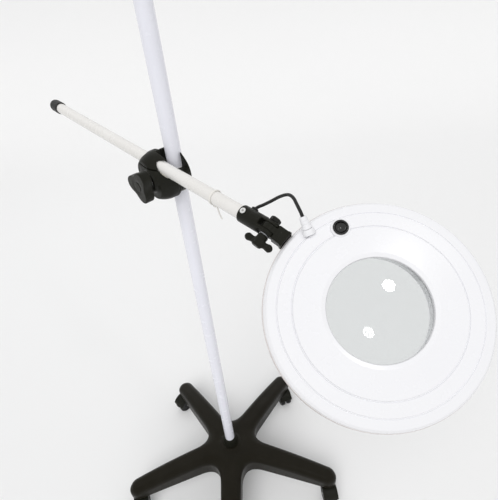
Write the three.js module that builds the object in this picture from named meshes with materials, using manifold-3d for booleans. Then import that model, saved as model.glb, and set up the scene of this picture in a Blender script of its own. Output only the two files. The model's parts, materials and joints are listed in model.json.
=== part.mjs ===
// A magnifying lamp on a wheeled stand: five-legged base, pole, sliding cross clamp,
// arm tube, and a round lit head with a large lens. Millimetres, Z up, floor at Z = 0.
import * as THREE from "three";
import { mergeVertices } from "three/addons/utils/BufferGeometryUtils.js";
import { ConvexGeometry } from "three/addons/geometries/ConvexGeometry.js";
import Module from "manifold-3d";

const wasm = await Module();
wasm.setup();

// ---- Driving dimensions -------------------------------------------------------------
const GAP = 0.3; // clearance between pieces that touch

// Pole
const POLE_R = 12.5;
const POLE_WALL = 1.5;
const POLE_TOP = 1280;
const SOCKET_FLOOR = 88; // where the pole's foot stands inside the hub

// Base
const LEG_COUNT = 5;
const FIRST_LEG = -20; // azimuth of the first leg, degrees
const CASTER_RADIUS = 270; // from the pole to a caster's stem
const HUB_TOP = 132;
const TIP_TOP = 96;
const TIP_FLOOR = 60;
const TIP_R = 23;

// Casters
const WHEEL_R = 25;
const WHEEL_WIDTH = 15;
const WHEEL_INNER = 4.6; // from the hood's middle plane to a wheel
const AXLE_R = 3;
const TRAIL = 18; // from the stem's axis back to the axle
const STEM_R = 5.3;

// How the lamp stands at rest, degrees
const ARM_AZIMUTH = -48.2;
const ARM_DROOP = 6.1; // the lamp end hangs this far below level
const HEAD_ROLL = 29.1; // the arm tube turned about its own axis
const HEAD_TILT = 21.2; // the head turned about its hinge bolt

// Cross clamp
const CLAMP_HEIGHT = 954.3; // the clamp bolt's axis above the floor
const ARM_OUT = 29; // from the pole's axis to the arm's axis, along the bolt
const ARM_LIFT = 19; // from the bolt's axis up to the arm's axis
const POLE_HALF_R = 33;
const ARM_HALF_R = 35;
const LINER_WALL = 0.8; // of the nylon liners between the tubes and the clamp

// Arm tube
const ARM_R = 9.5;
const ARM_WALL = 1.2;
const ARM_REAR = -350; // distances along the arm from where it passes the clamp bolt
const SLEEVE_REAR = 179;
const RIVET_AT = 185.5;
const HINGE = 225.2;

// Lamp head; X runs from the hinge to the lens, Z is the head's own up
const HEAD_R = 128; // of the top face
const BODY_R = 131.4; // of the head at its widest, just below the seam
const HINGE_REACH = 156.8; // from the hinge bolt to the lens's middle
const HINGE_DROP = 8; // the hinge bolt lies this far below the head's Z = 0
const HEAD_SIDE = -4; // the lens's middle lies this far to the side of the arm's line
const LENS_R = 63.5;
const SWITCH_AT = [-88.1, 51.6, 0];
const BOOT_ROOT = [-113.5, 25, 3.2];
const BOOT_LEAN = [-17.5, 9.2, 10.5]; // the way the lead's boot points
const BOOT_LENGTH = 22;

// ---- Materials ----------------------------------------------------------------------
function finish(color, roughness, metalness = 0) {
  return new THREE.MeshStandardMaterial({ color, roughness, metalness });
}
const WHITE_PAINT = finish(0xf1f0f4, 0.3, 0.1);
const WARM_PAINT = finish(0xefece6, 0.35, 0.1);
const WHITE_PLASTIC = finish(0xf3f3f6, 0.32);
const BLACK_PLASTIC = finish(0x23221d, 0.55);
const BASE_NYLON = finish(0x211e19, 0.5);
const WHEEL_NYLON = finish(0x1b1b1b, 0.45);
const STEEL = finish(0xb9bcc0, 0.3, 1);
const BLACK_STEEL = finish(0x2a2a28, 0.4, 0.8);
const GLASS = finish(0xdfeceb, 0.02);
const DIFFUSER = finish(0xf4f2ea, 0.6);
const CIRCUIT = finish(0xf0f0ea, 0.5);
const RUBBER = finish(0x1a1a1a, 0.8);
const LINER_NYLON = finish(0xd8d6cc, 0.5);

// ---- Helpers ------------------------------------------------------------------------
const degrees = THREE.MathUtils.degToRad;

// A three.js geometry as a manifold-3d solid.
function solidOf(geometry) {
  const bare = geometry.index ? geometry.toNonIndexed() : geometry.clone();
  bare.deleteAttribute("normal");
  bare.deleteAttribute("uv");
  const merged = mergeVertices(bare, 1e-4);
  const index = merged.index.array;
  const corners = [];
  for (let i = 0; i < index.length; i += 3) {
    const [a, b, c] = [index[i], index[i + 1], index[i + 2]];
    if (a !== b && b !== c && c !== a) corners.push(a, b, c);
  }
  const vertProperties = merged.attributes.position.array;
  const triVerts = new Uint32Array(corners);
  return new wasm.Manifold(new wasm.Mesh({ numProp: 3, vertProperties, triVerts }));
}

function geometryOf(solid) {
  const mesh = solid.getMesh();
  const geometry = new THREE.BufferGeometry();
  geometry.setAttribute("position", new THREE.BufferAttribute(mesh.vertProperties, 3));
  geometry.setIndex(new THREE.BufferAttribute(mesh.triVerts, 1));
  geometry.computeVertexNormals();
  return geometry;
}

// The first geometry with the others joined to it.
function join(first, ...others) {
  return geometryOf(others.reduce((all, g) => all.add(solidOf(g)), solidOf(first)));
}

// The first geometry with the others cut away.
function cut(first, ...tools) {
  return geometryOf(tools.reduce((rest, g) => rest.subtract(solidOf(g)), solidOf(first)));
}

// A solid of revolution about Z from [radius, z] points, anticlockwise in that plane.
function spin(profile, segments = 32) {
  const points = profile.map(([r, z]) => new THREE.Vector2(r, z));
  return geometryOf(solidOf(new THREE.LatheGeometry(points, segments).rotateX(Math.PI / 2)));
}

function rod(radius, from, to, segments = 24) {
  const length = to - from;
  const geometry = new THREE.CylinderGeometry(radius, radius, length, segments);
  return geometry.rotateX(Math.PI / 2).translate(0, 0, (from + to) / 2);
}

function ring(outer, inner, from, to, segments = 32) {
  return spin([[inner, from], [outer, from], [outer, to], [inner, to], [inner, from]], segments);
}

// A box given by its lowest and highest corners.
function block(low, high) {
  const size = high.map((v, i) => v - low[i]);
  const middle = high.map((v, i) => (v + low[i]) / 2);
  return new THREE.BoxGeometry(...size).translate(...middle);
}

// A hexagonal prism along Z, such as a bolt head.
function hexagon(acrossFlats, from, to) {
  return rod(acrossFlats / Math.sqrt(3), from, to, 6);
}

// Turns a shape made along Z so that it lies along X or along Y.
const alongX = (geometry) => geometry.rotateY(Math.PI / 2);
const alongY = (geometry) => geometry.rotateX(-Math.PI / 2);

function place(group, name, geometry, material) {
  const mesh = new THREE.Mesh(geometry, material);
  mesh.name = name;
  group.add(mesh);
}

function frameAt(parent, position, rotation = [0, 0, 0]) {
  const group = new THREE.Group();
  group.position.set(...position);
  group.rotation.set(...rotation);
  parent.add(group);
  return group;
}

// ---- Base ---------------------------------------------------------------------------
// Points of a leg's skin: a rounded-top section at each station and a round end at the tip.
// "inset" moves the skin inwards, for the hollow under the leg.
function legPoints(inset) {
  const edge = Math.max(10 - inset, 2);
  const points = [];
  const stations = [
    { x: 20, half: 31, top: 131, floor: 78 },
    { x: 80, half: 28, top: 127, floor: 75 },
    { x: 165, half: 25.5, top: 116, floor: 69 },
  ];
  for (const { x, half, top, floor } of stations) {
    for (const side of [-1, 1]) {
      points.push(new THREE.Vector3(x, side * (half - inset), floor));
      for (let turn = 0; turn <= 90; turn += 45) {
        const across = half - inset - edge + edge * Math.sin(degrees(turn));
        const up = top - inset - edge + edge * Math.cos(degrees(turn));
        points.push(new THREE.Vector3(x, side * across, up));
      }
    }
  }
  for (let round = -90; round <= 90; round += 30) {
    const out = new THREE.Vector3(Math.cos(degrees(round)), Math.sin(degrees(round)), 0);
    const end = new THREE.Vector3(CASTER_RADIUS, 0, 0);
    const radius = TIP_R - inset;
    points.push(end.clone().addScaledVector(out, radius).setZ(TIP_FLOOR));
    for (let turn = 0; turn <= 90; turn += 45) {
      const across = radius - edge + edge * Math.sin(degrees(turn));
      const up = TIP_TOP - inset - edge + edge * Math.cos(degrees(turn));
      points.push(end.clone().addScaledVector(out, across).setZ(up));
    }
  }
  return points;
}

// The open pockets under one leg, with cross ribs left between them.
function legPockets() {
  const ribs = [120, 185];
  const plates = ribs.map((x) => block([x - 1.5, -40, 0], [x + 1.5, 40, 140]));
  const inside = new ConvexGeometry(legPoints(4));
  const below = new ConvexGeometry(legPoints(4)).translate(0, 0, -12);
  const length = block([66, -40, 0], [CASTER_RADIUS - 20, 40, 140]);
  const cavity = solidOf(join(inside, below)).intersect(solidOf(length));
  return plates.reduce((rest, plate) => rest.subtract(solidOf(plate)), cavity);
}

function starBase() {
  const hub = spin([
    [0, 74], [58, 74], [60, 80], [58, 112], [50, 122], [34, 129], [24, HUB_TOP], [0, HUB_TOP],
  ], 30);
  let star = solidOf(hub);
  const leg = solidOf(new ConvexGeometry(legPoints(0)));
  const pockets = legPockets();
  const socket = solidOf(rod(STEM_R + GAP, TIP_FLOOR - 1, TIP_FLOOR + 22, 12));
  const angles = [...Array(LEG_COUNT)].map((_, k) => FIRST_LEG + (k * 360) / LEG_COUNT);
  for (const angle of angles) star = star.add(leg.rotate([0, 0, angle]));
  for (const angle of angles) {
    star = star.subtract(pockets.rotate([0, 0, angle]));
    star = star.subtract(socket.translate([CASTER_RADIUS, 0, 0]).rotate([0, 0, angle]));
  }
  const bores = [
    rod(POLE_R + GAP, SOCKET_FLOOR, HUB_TOP + 1),
    rod(5.5, 68, SOCKET_FLOOR + 1),
    rod(17, 68, 78),
  ];
  return geometryOf(bores.reduce((rest, bore) => rest.subtract(solidOf(bore)), star));
}

function poleFoot(group) {
  const inner = POLE_R - POLE_WALL;
  const foot = SOCKET_FLOOR + GAP;
  place(group, "pole_tube", ring(POLE_R, inner, foot, POLE_TOP - 2.4), WHITE_PAINT);
  place(group, "pole_foot_insert", ring(inner - GAP, 4.4, foot, foot + 26), STEEL);
  place(group, "pole_foot_washer", ring(14, 5.2, 75.7, 77.7, 32), STEEL);
  const bolt = join(rod(4.1, 74, 110, 24), hexagon(16, 68.5, 75.4));
  place(group, "pole_foot_bolt", bolt, STEEL);
  const collar = spin([
    [POLE_R + GAP, HUB_TOP + GAP], [19, HUB_TOP + GAP], [18.4, HUB_TOP + 8],
    [15.8, HUB_TOP + 27], [15, HUB_TOP + 28], [POLE_R + GAP, HUB_TOP + 28],
    [POLE_R + GAP, HUB_TOP + GAP],
  ]);
  place(group, "hub_collar", collar, BLACK_PLASTIC);
  const plug = spin([
    [0, POLE_TOP - 22], [inner - GAP, POLE_TOP - 22], [inner - GAP, POLE_TOP - 2.1],
    [POLE_R, POLE_TOP - 2.1], [POLE_R - 0.8, POLE_TOP - 0.5], [POLE_R - 3, POLE_TOP], [0, POLE_TOP],
  ]);
  place(group, "pole_top_plug", plug, BLACK_PLASTIC);
}

// ---- Casters ------------------------------------------------------------------------
function casterStem() {
  return spin([
    [0, 38], [4, 38], [4, 53], [8, 53], [8, 55.4], [STEM_R, 55.4], [STEM_R, 78], [4.2, 79.4],
    [0, 79.4],
  ], 12);
}

function casterHood() {
  const reach = WHEEL_INNER + WHEEL_WIDTH; // half the caster's width
  const shell = new THREE.Shape();
  shell.absarc(0, 0, WHEEL_R + 3.4, degrees(8), degrees(158), false);
  shell.absarc(0, 0, WHEEL_R + 1.4, degrees(158), degrees(8), true);
  const fender = new THREE.ExtrudeGeometry(shell, {
    depth: 2 * reach, bevelEnabled: false, curveSegments: 7,
  });
  const web = new THREE.Shape();
  web.absarc(0, 0, WHEEL_R + 2, degrees(14), degrees(150), false);
  web.absarc(0, 0, 8, degrees(170), degrees(370), false);
  const plate = new THREE.ExtrudeGeometry(web, {
    depth: 2 * (WHEEL_INNER - GAP), bevelEnabled: false, curveSegments: 7,
  });
  fender.translate(0, 0, -reach);
  plate.translate(0, 0, -(WHEEL_INNER - GAP));
  const body = join(fender, plate).rotateX(Math.PI / 2).translate(-TRAIL, 0, WHEEL_R);
  const boss = rod(10, 35, 52.2, 12);
  const axle = alongY(rod(AXLE_R + GAP, -reach, reach, 12)).translate(-TRAIL, 0, WHEEL_R);
  const stemRoom = join(rod(4 + GAP, 37.7, 70, 12), rod(8.6, 52.2, 70, 16));
  const wheelRoom = [-1, 1].map((side) => {
    const room = alongY(rod(WHEEL_R + 1.4, WHEEL_INNER - GAP, reach + 1, 14));
    return room.scale(1, side, 1).translate(-TRAIL, 0, WHEEL_R);
  });
  let hood = solidOf(join(body, boss));
  for (const tool of [axle, stemRoom]) hood = hood.subtract(solidOf(tool));
  const rooms = wheelRoom.map((room, side) => solidOf(side ? room : mirrored(room)));
  return geometryOf(rooms.reduce((rest, room) => rest.subtract(room), hood));
}

// Turns a mirrored shape's faces outwards again.
function mirrored(geometry) {
  const index = geometry.index.array;
  for (let i = 0; i < index.length; i += 3) {
    [index[i + 1], index[i + 2]] = [index[i + 2], index[i + 1]];
  }
  return geometry;
}

function casterWheel(side) {
  const inner = WHEEL_INNER;
  const outer = WHEEL_INNER + WHEEL_WIDTH;
  const wheel = spin([
    [AXLE_R + GAP, inner], [WHEEL_R, inner], [WHEEL_R, outer - 3.5], [WHEEL_R - 3, outer],
    [AXLE_R + GAP, outer], [AXLE_R + GAP, inner],
  ], 20);
  const turned = side > 0 ? alongY(wheel) : wheel.rotateX(Math.PI / 2);
  return turned.translate(-TRAIL, 0, WHEEL_R);
}

// The five casters, all trailing to the front, as after the stand was drawn backwards.
function casters(group) {
  const headings = [115, 53, 281, 264, 212];
  for (let k = 0; k < LEG_COUNT; k += 1) {
    const angle = degrees(FIRST_LEG + (k * 360) / LEG_COUNT);
    const spot = [CASTER_RADIUS * Math.cos(angle), CASTER_RADIUS * Math.sin(angle), 0];
    const caster = frameAt(group, spot, [0, 0, angle + degrees(headings[k])]);
    const number = k + 1;
    const half = WHEEL_INNER + WHEEL_WIDTH - 1.8;
    const axle = alongY(rod(AXLE_R, -half, half, 12)).translate(-TRAIL, 0, WHEEL_R);
    place(caster, `caster_stem_${number}`, casterStem(), STEEL);
    place(caster, `caster_hood_${number}`, casterHood(), BLACK_PLASTIC);
    place(caster, `caster_axle_${number}`, axle, STEEL);
    place(caster, `caster_wheel_left_${number}`, casterWheel(1), WHEEL_NYLON);
    place(caster, `caster_wheel_right_${number}`, casterWheel(-1), WHEEL_NYLON);
  }
}

// ---- Cross clamp --------------------------------------------------------------------
// The clamp's frame: X level along the arm's heading, -Y out along the bolt, Z up.
const POLE_LINER_R = POLE_R + GAP + LINER_WALL;
const ARM_LINER_R = ARM_R + GAP + LINER_WALL;
const SPLIT = 16; // where the two halves meet, out from the pole's axis
const EYE_R = 16.6; // the eye of the clamp bolt goes round the pole
const EYE_HALF = 7.6; // half the eye's height
const WINDOW_SILL = 9; // above this the clamp is cut away on its lamp side

// A solid of revolution about the bolt, from [radius, distance out] points.
function spinOnBolt(profile, segments = 36) {
  return spin(profile, segments).rotateX(Math.PI / 2);
}

function clampPoleHalf() {
  const radius = POLE_HALF_R;
  const round = spinOnBolt([
    [0, -5], [radius - 2, -5], [radius, -3], [radius, SPLIT - 2], [radius - 1.8, SPLIT - 0.2],
    [0, SPLIT - 0.2],
  ]);
  const drum = hullOf(round, round.clone().translate(-5, 0, 5));
  const far = radius + 12;
  const window = block([-POLE_LINER_R, -SPLIT - 1, WINDOW_SILL], [far, 2, far]);
  const bore = rod(POLE_LINER_R + GAP, -far, far, 28);
  const eyeRoom = rod(EYE_R + GAP, -EYE_HALF - GAP, EYE_HALF + GAP, 28);
  const boltHole = alongY(rod(4.3, -24, -10, 20));
  return cut(drum, window, bore, eyeRoom, boltHole);
}

// One solid stretched round several shapes.
function hullOf(...shapes) {
  const corners = shapes.flatMap((shape) => {
    const spots = shape.attributes.position;
    return [...Array(spots.count)].map((_, i) => new THREE.Vector3().fromBufferAttribute(spots, i));
  });
  return new ConvexGeometry(corners);
}

// The outer half: a blunt cone round the bolt, drawn up at the back to hold the arm, and
// cut away between the arm and the pole on its lamp side.
function clampArmHalf() {
  const cone = (radius, shoulder) => spinOnBolt([
    [0, SPLIT + 0.2], [radius - 1.8, SPLIT + 0.2], [radius, SPLIT + 2], [radius, shoulder],
    [radius - 1.6, shoulder + 5], [radius - 5, shoulder + 10], [radius - 15, 43.5],
    [radius - 17.5, 46], [0, 46],
  ], 28);
  const back = cone(ARM_HALF_R - 6, 31).translate(-17, 0, 6);
  const low = cone(ARM_HALF_R - 7, 33).translate(2, 0, -9);
  const dome = hullOf(cone(ARM_HALF_R, 23), back, low);
  const boss = spinOnBolt([[0, 44], [17.5, 44], [16, 53], [0, 53]], 28);
  const far = 2 * ARM_HALF_R;
  const bore = alongX(rod(ARM_LINER_R + GAP, -far, far, 28)).translate(0, -ARM_OUT, ARM_LIFT);
  const window = block([-14, -ARM_OUT + 5, ARM_LIFT - 2], [far, -SPLIT + 1, far]);
  const slit = block([-far, -60, ARM_LIFT - 1], [far, -ARM_OUT, ARM_LIFT + 1]);
  const eyeRoom = alongY(rod(11.2, -SPLIT - 1.1, -SPLIT + 1, 24));
  const boltHole = alongY(rod(4.3, -60, -10, 20));
  return cut(join(dome, boss), bore, window, slit, eyeRoom, boltHole);
}

function clampKnob() {
  const grip = new THREE.Shape();
  const lobes = 3;
  const steps = 36;
  for (let k = 0; k < steps; k += 1) {
    const angle = (k * 2 * Math.PI) / steps;
    const radius = 22.5 - 4.5 * Math.cos(lobes * angle);
    const point = [radius * Math.cos(angle), radius * Math.sin(angle)];
    if (k === 0) grip.moveTo(...point);
    else grip.lineTo(...point);
  }
  grip.closePath();
  const body = new THREE.ExtrudeGeometry(grip, {
    depth: 10, bevelThickness: 2.5, bevelSize: 2.5, bevelOffset: -2.5, bevelSegments: 1,
  }).translate(0, 0, 60.5);
  const neck = spin([[0, 55.3], [11, 55.3], [12.5, 56.5], [18, 59.5], [18, 62], [0, 62]], 32);
  const bore = rod(4.3, 50, 70, 20);
  return cut(join(body, neck), bore).rotateX(Math.PI / 2);
}

function clamp(group) {
  const liner = ring(POLE_LINER_R, POLE_R + GAP, 2 - POLE_HALF_R, WINDOW_SILL - 0.5, 28);
  const slit = block([-1.2, POLE_R - 2, -POLE_HALF_R], [1.2, POLE_R + 6, POLE_HALF_R]);
  place(group, "pole_liner", cut(liner, slit), LINER_NYLON);
  place(group, "clamp_pole_half", clampPoleHalf(), BLACK_PLASTIC);
  const eye = ring(EYE_R, POLE_LINER_R + GAP, -EYE_HALF, EYE_HALF, 28);
  const shank = alongY(rod(4, -69, -15, 20));
  place(group, "clamp_eye_bolt", join(eye, shank), BLACK_STEEL);
  const pitched = frameAt(group, [0, 0, 0], [0, degrees(ARM_DROOP), 0]);
  place(pitched, "clamp_arm_half", clampArmHalf(), BLACK_PLASTIC);
  const washer = ring(12.5, 4.4, 53.3, 55, 32).rotateX(Math.PI / 2);
  place(pitched, "clamp_washer", washer, STEEL);
  place(pitched, "clamp_knob", clampKnob(), BLACK_PLASTIC);
  return pitched;
}

// ---- Arm ----------------------------------------------------------------------------
// The arm's frame: X along the tube towards the lamp, Y along the hinge bolt.
const SLEEVE_R = 11.7;
const FORK_FLAT = 9.3; // half the fork's width across its flats
const FORK_SLOT = 9;
const FORK_END = 11; // the fork's cheeks end in this radius round the hinge
const HINGE_BOLT_R = 3;
const LEAD_EXIT = HINGE - 34.5;

function arm(group) {
  const tubeEnd = HINGE - 26;
  const inner = ARM_R - ARM_WALL;
  const tube = alongX(ring(ARM_R, inner, ARM_REAR, tubeEnd, 32));
  const wireHole = alongY(rod(3.2, 4, 14, 14)).translate(LEAD_EXIT, 0, 0);
  place(group, "arm_tube", cut(tube, wireHole), WARM_PAINT);
  place(group, "arm_liner", armLiner(), LINER_NYLON);
  const cap = alongX(spin([
    [0, ARM_REAR - 4], [9.4, ARM_REAR - 4], [11.2, ARM_REAR - 1.8], [11.4, ARM_REAR + 22],
    [10.9, ARM_REAR + 24], [ARM_R + GAP, ARM_REAR + 24], [ARM_R + GAP, ARM_REAR - GAP],
    [0, ARM_REAR - GAP],
  ], 24));
  place(group, "arm_end_cap", cap, RUBBER);
  place(group, "cable_tie", cableTie(), LINER_NYLON);
  place(group, "head_sleeve", headSleeve(), BLACK_PLASTIC);
  place(group, "sleeve_rivet", sleeveRivet(), STEEL);
  const bolt = join(
    alongY(rod(HINGE_BOLT_R, -22, 10, 20)),
    alongY(hexagon(13, FORK_FLAT + 0.2, FORK_FLAT + 6.4)),
  ).translate(HINGE, 0, 0);
  place(group, "hinge_bolt", bolt, BLACK_STEEL);
  place(group, "wing_knob", wingKnob(), BLACK_PLASTIC);
  const washer = alongY(ring(7, HINGE_BOLT_R + GAP, -10.8, -9.5, 24)).translate(HINGE, 0, 0);
  place(group, "hinge_washer", washer, STEEL);
  const grommet = alongY(spin([
    [2.5, 9.9], [4.4, 9.9], [4.4, 12], [5.2, 12.2], [4.6, 14.2], [2.5, 14.2], [2.5, 9.9],
  ], 16)).translate(LEAD_EXIT, 0, 0);
  place(group, "lead_grommet", grommet, RUBBER);
}

function armLiner() {
  const sleeve = alongX(ring(ARM_LINER_R, ARM_R + GAP, -26, 26, 28));
  const opened = block([-17, -20, -3], [40, 20, 20]);
  const slit = block([-40, -20, -1], [3, 0, 1]);
  return cut(sleeve, opened.rotateX(-degrees(HEAD_ROLL)), slit);
}

// A nylon tie round the tube, with its locking head below and a short cut tail hanging.
function cableTie() {
  const at = 126;
  const strap = alongX(ring(ARM_R + GAP + 1.2, ARM_R + GAP, at - 1.8, at + 1.8, 28));
  const lock = block([at - 2.6, -2.8, -ARM_R - 5], [at + 2.6, 2.8, -ARM_R - 0.9]);
  const tail = block([-1.2, 1, -24], [1.2, 2.2, 0]).rotateY(degrees(-18));
  return join(strap, lock, tail.translate(at, 0, -ARM_R - 2)).rotateX(-degrees(HEAD_ROLL));
}

function headSleeve() {
  const tubeRoom = HINGE - 26 + GAP;
  const sleeve = alongX(spin([
    [ARM_R + GAP, SLEEVE_REAR + 0.8], [10.4, SLEEVE_REAR], [SLEEVE_R - 0.6, SLEEVE_REAR + 1.6],
    [SLEEVE_R, SLEEVE_REAR + 4], [SLEEVE_R, HINGE + FORK_END], [0, HINGE + FORK_END],
    [0, tubeRoom], [ARM_R + GAP, tubeRoom], [ARM_R + GAP, SLEEVE_REAR + 0.8],
  ], 28));
  const cheek = new THREE.Shape();
  cheek.moveTo(-80, -20);
  cheek.lineTo(0, -20);
  cheek.lineTo(0, -FORK_END);
  cheek.absarc(0, 0, FORK_END, -Math.PI / 2, Math.PI / 2, false);
  cheek.lineTo(0, 20);
  cheek.lineTo(-80, 20);
  cheek.closePath();
  const outline = new THREE.ExtrudeGeometry(cheek, {
    depth: 60, bevelEnabled: false, curveSegments: 12,
  }).rotateX(Math.PI / 2).translate(HINGE, 30, 0);
  const slotHalf = FORK_SLOT / 2;
  const slot = block([HINGE - 12.5, -slotHalf, -30], [HINGE + 20, slotHalf, 30]);
  const flats = [-1, 1].map((side) => {
    const outer = side * 20;
    const inner = side * FORK_FLAT;
    const low = [HINGE - 9.5, Math.min(inner, outer), -30];
    return block(low, [HINGE + 20, Math.max(inner, outer), 30]);
  });
  const boltHole = alongY(rod(HINGE_BOLT_R + GAP, -30, 30, 20)).translate(HINGE, 0, 0);
  const rivetHole = rod(2.6, 5, 20, 16).translate(RIVET_AT, 0, 0);
  const wireHole = alongY(rod(4.7, 5, 20, 16)).translate(LEAD_EXIT, 0, 0);
  let body = solidOf(sleeve).intersect(solidOf(outline));
  const tools = [slot, ...flats, boltHole, rivetHole, wireHole];
  for (const tool of tools) body = body.subtract(solidOf(tool));
  return geometryOf(body);
}

function sleeveRivet() {
  return spin([
    [1.5, 9.9], [2.3, 9.9], [2.3, 12], [4, 12], [3.7, 12.9], [2.6, 13.3], [1.5, 12.7],
    [1.5, 9.9],
  ], 20).translate(RIVET_AT, 0, 0);
}

// The wing knob, with its wings spread along the arm.
function wingKnob() {
  const barrel = spin([
    [0, 11.1], [6.6, 11.1], [7.4, 12], [7.4, 24], [6, 27], [0, 27.4],
  ], 24);
  const outline = new THREE.Shape();
  outline.absarc(-17.6, 0, 4, degrees(110), degrees(250), false);
  outline.absarc(0, 4, 11, degrees(245), degrees(295), false);
  outline.absarc(17.6, 0, 4, degrees(290), degrees(430), false);
  outline.absarc(0, -4, 11, degrees(65), degrees(115), false);
  const wings = new THREE.ExtrudeGeometry(outline, {
    depth: 7, bevelThickness: 1, bevelSize: 1, bevelOffset: -1, bevelSegments: 1, curveSegments: 5,
  }).translate(0, 0, 18);
  const bore = rod(HINGE_BOLT_R + GAP, 10, 23, 20);
  const knob = cut(join(barrel, wings), bore);
  return knob.rotateX(Math.PI / 2).translate(HINGE, 0, 0);
}

// ---- Lamp head ----------------------------------------------------------------------
const SEAM = -9; // where the two covers meet
const SKIN = 2.4; // wall thickness of the covers
const FLOOR = -33; // the head's underside
const ROCKER_PIVOT = 6.8; // height of the rocker's axis
const ROCKER_R = 6.5; // of the ball it is cut from, which clears the bezel as it rocks
const ROCKER_THROW = 24; // degrees from one side to the other

// Puts a shape made along Z on the head, along the way the lead's boot points.
function alongBoot(geometry) {
  const lean = new THREE.Vector3(...BOOT_LEAN).normalize();
  const turn = new THREE.Quaternion().setFromUnitVectors(new THREE.Vector3(0, 0, 1), lean);
  return geometry.applyQuaternion(turn).translate(...BOOT_ROOT);
}

function headTopCover() {
  const cover = spin([
    [64, -2.4], [64, -30.4], [66.4, -30.4], [66.4, 5.4], [92, 4.2], [95, 1.4], [110.5, 0.8],
    [113.2, -1.6], [HEAD_R - SKIN - 1.6, -4.6], [BODY_R - SKIN - 1.4, SEAM],
    [BODY_R - 1.4, SEAM], [HEAD_R, -4], [HEAD_R - 2.4, -0.6], [114.6, 1.6], [113.4, 3.6],
    [97, 4.2], [95.6, 6.6], [64, 8], [58.8, 6], [58.8, 3.2], [60.2, 2.6], [60.2, -2.4],
    [64, -2.4],
  ], 48);
  const bootStub = alongBoot(spin([[0, -8], [7.8, -8], [7.4, 2], [6.6, 6], [0, 6]], 20));
  const inside = ring(HEAD_R - 1, HEAD_R - 40, -30, -2.4, 48);
  const switchPad = rod(11, 1, 7, 32).translate(...SWITCH_AT);
  const switchHole = rod(8.2, -30, 30, 32).translate(...SWITCH_AT);
  const bootHole = alongBoot(rod(4.5, -12, 10, 16));
  const stub = cut(bootStub, inside);
  return cut(join(cover, stub, switchPad), switchHole, bootHole);
}

function headBottomCover() {
  return spin([
    [103, FLOOR], [117, FLOOR], [126.4, -31.2], [130.4, -27.6], [BODY_R, -22], [BODY_R, -14],
    [BODY_R - 1, SEAM - 0.4], [BODY_R - SKIN - 1, SEAM - 0.4], [BODY_R - SKIN, -14],
    [BODY_R - SKIN, -22], [128, -26.4], [125, -29.2], [116.4, -30.6], [103, -30.6],
    [103, FLOOR],
  ], 48);
}

// A section of the biconvex lens: two shallow arcs joined by the ground edge.
function lens() {
  const edgeTop = -3.2;
  const edge = 3;
  const crown = 5.9;
  const steps = 4;
  const arc = [...Array(steps + 1)].map((_, i) => {
    const r = (LENS_R * i) / steps;
    return [r, crown * (1 - (r / LENS_R) ** 2)];
  });
  const under = arc.map(([r, rise]) => [r, edgeTop - edge - rise]);
  const over = arc.map(([r, rise]) => [r, edgeTop + rise]).reverse();
  return spin([...under, ...over], 40);
}

function headKnuckle() {
  const tongueHalf = (FORK_SLOT - 0.8) / 2;
  const tongue = alongY(rod(10.4, -tongueHalf, tongueHalf, 36));
  const neck = block([0, -tongueHalf, -9.5], [16, tongueHalf, 9.5]);
  const body = block([9, -9.8, -9.5], [34, 9.8, 8.4]);
  const flange = block([21.5, -10.8, -10.4], [34, 10.8, 6.6]);
  const forkRoom = cut(
    alongY(rod(FORK_END + 0.9, -20, 20, 40)),
    block([-20, -tongueHalf, -20], [20, tongueHalf, 20]),
  );
  const headRoom = rod(BODY_R + 0.4, -40, 40, 96).translate(HINGE_REACH, HEAD_SIDE, 0);
  const hole = alongY(rod(HINGE_BOLT_R + GAP, -20, 20, 20));
  const knuckle = cut(join(body, flange, neck, tongue), forkRoom, headRoom, hole);
  return knuckle.translate(-HINGE_REACH, -HEAD_SIDE, -HINGE_DROP);
}

function switchBezel() {
  return spin([
    [0, -14], [7.9, -14], [7.9, 7.3], [9.3, 7.3], [9.1, 8.6], [8.2, 9.2], [6.9, 8.8],
    [6.9, -12], [0, -12],
  ], 36).translate(...SWITCH_AT);
}

// The rocker, pressed down on one side; it turns about an axis that runs round the head.
function switchRocker() {
  const ball = solidOf(new THREE.SphereGeometry(ROCKER_R, 32, 20));
  const waist = solidOf(alongY(rod(ROCKER_R - 0.4, -8, 8, 36)));
  const slope = degrees(ROCKER_THROW / 2);
  const tops = [-1, 1].map((side) => {
    const top = new THREE.BoxGeometry(20, 20, 10).translate(0, 0, 5);
    return top.rotateY(side * slope).translate(0, 0, 2.4);
  });
  let rocker = ball.intersect(waist);
  for (const top of tops) rocker = rocker.subtract(solidOf(top));
  return geometryOf(rocker).rotateY(-slope).translate(0, 0, ROCKER_PIVOT);
}

function leadBoot() {
  const boot = spin([
    [2.5, 6.3], [6, 6.3], [6.2, 8], [5.4, 9], [5, 13], [4.3, BOOT_LENGTH],
    [2.5, BOOT_LENGTH], [2.5, 6.3],
  ], 20);
  return alongBoot(boot);
}

function head(group) {
  place(group, "head_knuckle", headKnuckle(), BLACK_PLASTIC);
  place(group, "head_top_cover", headTopCover(), WHITE_PLASTIC);
  place(group, "head_bottom_cover", headBottomCover(), WHITE_PLASTIC);
  place(group, "lens", lens(), GLASS);
  const retainer = spin([
    [61, FLOOR], [73, FLOOR], [73, -30.8], [63.6, -30.8], [63.6, -7.6], [61, -7.6],
    [61, FLOOR],
  ], 40);
  place(group, "lens_ring", retainer, WHITE_PLASTIC);
  place(group, "led_board", ring(93, 70, -5, -3.4, 40), CIRCUIT);
  place(group, "diffuser", ring(106, 66.8, -30.2, -28.4, 40), DIFFUSER);
  place(group, "switch_bezel", switchBezel(), BLACK_PLASTIC);
  const turn = Math.atan2(SWITCH_AT[1], SWITCH_AT[0]);
  const rockerFrame = frameAt(group, SWITCH_AT, [0, 0, turn]);
  place(rockerFrame, "switch_rocker", switchRocker(), BLACK_PLASTIC);
  place(group, "lead_boot", leadBoot(), WHITE_PLASTIC);
}

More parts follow.
